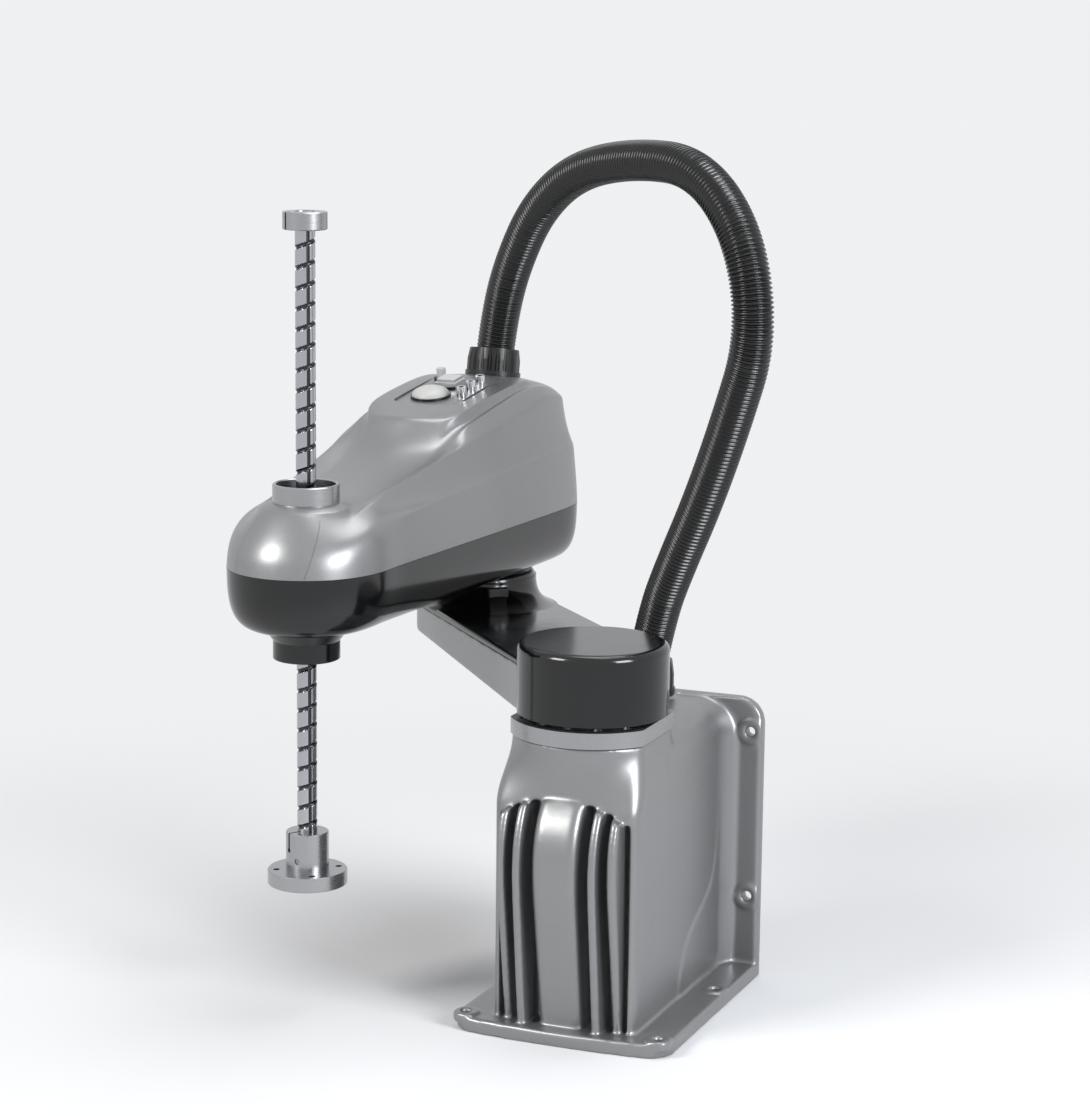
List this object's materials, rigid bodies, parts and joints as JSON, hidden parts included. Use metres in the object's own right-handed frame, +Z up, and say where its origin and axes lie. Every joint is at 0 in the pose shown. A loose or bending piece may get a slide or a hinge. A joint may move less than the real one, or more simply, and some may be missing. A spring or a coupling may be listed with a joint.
{
  "type": "four-axis selective-compliance robot arm",
  "caption": "Table-mounted robot arm with two level links, a splined quill with a tool flange at its end, a ribbed cast base and an arched corrugated hose.",
  "frame": {"origin": "on the first joint's axis in the foot's mounting plane", "axes": "+Z up along the first joint's axis, +Y from the ribbed front to the back plate, +X to the right seen from the front"},
  "size_m": [0.5047, 0.5819, 0.8722],
  "materials": {
    "casting_paint": "satin silver-grey paint over a fine cast surface",
    "gloss_black": "high-gloss black",
    "machined_aluminium": "turned, bright",
    "polished_steel": "ground and polished",
    "screw_steel": "plain steel",
    "pulley_aluminium": "hard anodised",
    "drive_steel": "ground",
    "motor_black": "matt black",
    "moulded_black": "moulded black",
    "hose_black": "corrugated, slight sheen",
    "belt_rubber": "toothed belt",
    "lamp_white": "translucent white",
    "connector_chrome": "plated",
    "panel_steel": "powder coat"
  },
  "bodies": {
    "base": {"base_casting": "casting_paint", "ring_plate": "machined_aluminium", "ring_screws": "screw_steel", "shoulder_reducer": "drive_steel", "shoulder_motor": "motor_black", "connector_panel": "panel_steel", "power_inlet": "moulded_black", "signal_socket_1": "connector_chrome", "signal_socket_2": "connector_chrome", "network_socket": "moulded_black", "panel_screws": "screw_steel", "base_gland": "moulded_black", "base_gland_nut": "moulded_black", "hose": "hose_black"},
    "inner_arm": {"inner_arm_casting": "casting_paint", "inner_arm_cover": "gloss_black", "shoulder_cap": "gloss_black", "stop_block": "screw_steel", "shoulder_hub": "machined_aluminium", "elbow_hub": "drive_steel"},
    "outer_arm": {"top_cover": "casting_paint", "bottom_cover": "gloss_black", "arm_frame": "machined_aluminium", "elbow_reducer": "drive_steel", "elbow_motor": "motor_black", "turn_motor": "motor_black", "lift_motor": "motor_black", "spline_bearing": "polished_steel", "ball_nut_bearing": "polished_steel", "turn_belt": "belt_rubber", "lift_belt": "belt_rubber", "quill_ring": "machined_aluminium", "quill_boot": "gloss_black", "panel_tray": "casting_paint", "lamp_base": "moulded_black", "status_lamp": "lamp_white", "coupler_base": "moulded_black", "couplers": "connector_chrome", "multipin_socket": "moulded_black", "button_base": "moulded_black", "arm_gland": "moulded_black", "arm_gland_nut": "moulded_black"},
    "spline_nut_body": {"spline_nut": "polished_steel", "turn_pulley": "pulley_aluminium"},
    "quill": {"quill_shaft": "polished_steel", "top_collar": "machined_aluminium", "tool_flange": "machined_aluminium", "set_screws": "screw_steel"},
    "ball_nut_body": {"ball_nut": "polished_steel", "lift_pulley": "pulley_aluminium"},
    "turn_motor_shaft": {"turn_motor_pulley": "pulley_aluminium"},
    "lift_motor_shaft": {"lift_motor_pulley": "pulley_aluminium"},
    "brake_button_body": {"brake_button": "lamp_white"}
  },
  "joints": [
    {"name": "shoulder", "type": "hinge", "parent": "base", "child": "inner_arm", "pos_m": [0, 0, 0.3], "axis": [0, 0, 1], "range_deg": [-0.5, 282.3], "deforming": ["hose"]},
    {"name": "elbow", "type": "hinge", "parent": "inner_arm", "child": "outer_arm", "pos_m": [-0.25551, 0.30776, 0.392], "axis": [0, 0, 1], "range_deg": [-277.3, 0.7], "deforming": ["hose"]},
    {"name": "quill_turn", "type": "hinge", "parent": "outer_arm", "child": "spline_nut_body", "pos_m": [-0.26947, -0.092, 0.42], "axis": [0, 0, 1], "range_deg": [-360, 360]},
    {"name": "quill_stroke", "type": "slide", "parent": "spline_nut_body", "child": "quill", "axis": [0, 0, 1], "range_m": [-0.242, 0.168]},
    {"name": "ball_nut_turn", "type": "hinge", "parent": "spline_nut_body", "child": "ball_nut_body", "pos_m": [-0.26947, -0.092, 0.49], "axis": [0, 0, 1], "range_deg": [-4360, 3030]},
    {"name": "turn_motor_turn", "type": "hinge", "parent": "outer_arm", "child": "turn_motor_shaft", "pos_m": [-0.29272, 0.15897, 0.47], "axis": [0, 0, 1], "range_deg": [-810, 810]},
    {"name": "lift_motor_turn", "type": "hinge", "parent": "outer_arm", "child": "lift_motor_shaft", "pos_m": [-0.22876, 0.15673, 0.485], "axis": [0, 0, 1], "range_deg": [-8720, 6060]},
    {"name": "brake_press", "type": "slide", "parent": "outer_arm", "child": "brake_button_body", "axis": [-0.0052, -0.1483, 0.9889], "range_m": [-0.002, 0], "stiffness_N_per_m": 400}
  ],
  "couplings": [
    {"joint": "ball_nut_turn", "follows": "quill_stroke", "rad_per_m": 314.16},
    {"joint": "lift_motor_turn", "follows": "quill_stroke", "rad_per_m": 628.32},
    {"joint": "turn_motor_turn", "follows": "quill_turn", "ratio": 2.24}
  ]
}
